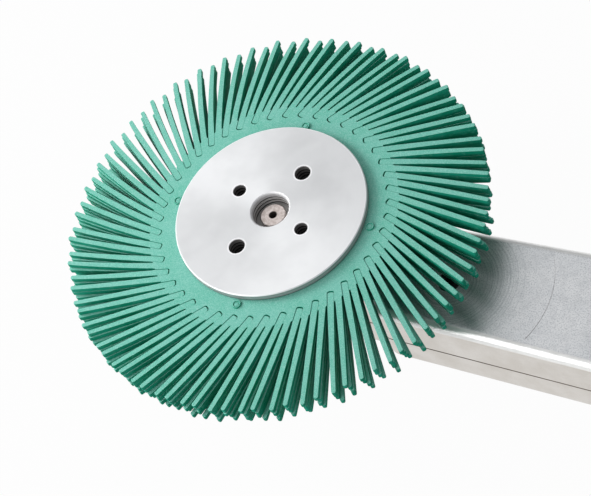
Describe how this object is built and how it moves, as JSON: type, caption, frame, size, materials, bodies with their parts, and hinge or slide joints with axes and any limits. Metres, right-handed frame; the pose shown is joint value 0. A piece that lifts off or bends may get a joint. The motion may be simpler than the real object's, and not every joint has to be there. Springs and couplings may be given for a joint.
{
  "type": "rotary bristle brush head on a belt-driven spindle arm",
  "caption": "Stack of moulded radial bristle discs clamped between flanges on a spindle at the end of a flat belt-drive arm.",
  "frame": {"origin": "on the spindle axis, in the flat underside of the arm", "axes": "+Z along the spindle, out of the front of the brush; +X along the arm, away from the brush"},
  "size_m": [0.3145, 0.1992, 0.068],
  "materials": {
    "bristle_plastic": "moulded green thermoplastic with abrasive grain, matt",
    "flange_aluminium": "fine turned, satin",
    "arm_aluminium": "brushed, worn, bright rounded edges",
    "spindle_steel": "turned steel, slightly tarnished",
    "bearing_steel": "ground and polished",
    "pulley_aluminium": "turned",
    "black_steel": "black oxide",
    "black_rubber": "matt black rubber"
  },
  "bodies": {
    "arm": {"arm_lower_shell": "arm_aluminium", "arm_upper_shell": "arm_aluminium", "shell_screws": "black_steel", "bore_retaining_ring": "black_steel", "shaft_seal": "black_rubber", "spindle_lower_bearing_outer_ring": "bearing_steel", "spindle_lower_bearing_balls": "bearing_steel", "spindle_upper_bearing_outer_ring": "bearing_steel", "spindle_upper_bearing_balls": "bearing_steel", "drive_lower_bearing_outer_ring": "bearing_steel", "drive_lower_bearing_balls": "bearing_steel", "drive_upper_bearing_outer_ring": "bearing_steel", "drive_upper_bearing_balls": "bearing_steel", "idler_axle": "spindle_steel", "idler_spacer": "spindle_steel", "idler_screw": "black_steel", "idler_bearing_inner_ring": "bearing_steel", "idler_bearing_balls": "bearing_steel", "drive_belt": "black_rubber"},
    "brush_head": {"bristle_disc_1": "bristle_plastic", "bristle_disc_2": "bristle_plastic", "bristle_disc_3": "bristle_plastic", "bristle_disc_4": "bristle_plastic", "bristle_disc_5": "bristle_plastic", "bristle_disc_6": "bristle_plastic", "bristle_disc_7": "bristle_plastic", "bristle_disc_8": "bristle_plastic", "front_flange": "flange_aluminium", "rear_flange": "flange_aluminium", "spindle": "spindle_steel", "spindle_key": "spindle_steel", "driven_pulley": "pulley_aluminium", "spindle_retaining_ring": "black_steel", "spindle_lower_bearing_inner_ring": "bearing_steel", "spindle_upper_bearing_inner_ring": "bearing_steel"},
    "idler": {"idler_pulley": "pulley_aluminium", "idler_bearing_outer_ring": "bearing_steel"},
    "drive": {"drive_shaft": "spindle_steel", "drive_pulley": "pulley_aluminium", "drive_key": "spindle_steel", "drive_retaining_ring": "black_steel", "drive_lower_bearing_inner_ring": "bearing_steel", "drive_upper_bearing_inner_ring": "bearing_steel"}
  },
  "joints": [
    {"name": "brush_spin", "type": "hinge", "parent": "arm", "child": "brush_head", "pos_m": [0, 0, 0.05], "axis": [0, 0, 1], "continuous": true},
    {"name": "drive_spin", "type": "hinge", "parent": "arm", "child": "drive", "pos_m": [0.175, 0, 0.0199], "axis": [0, 0, 1], "continuous": true},
    {"name": "idler_spin", "type": "hinge", "parent": "arm", "child": "idler", "pos_m": [0.082, -0.002, 0.0199], "axis": [0, 0, 1], "continuous": true}
  ],
  "couplings": [
    {"joint": "drive_spin", "follows": "brush_spin", "ratio": 0.8209},
    {"joint": "idler_spin", "follows": "brush_spin", "ratio": 0.9016}
  ]
}
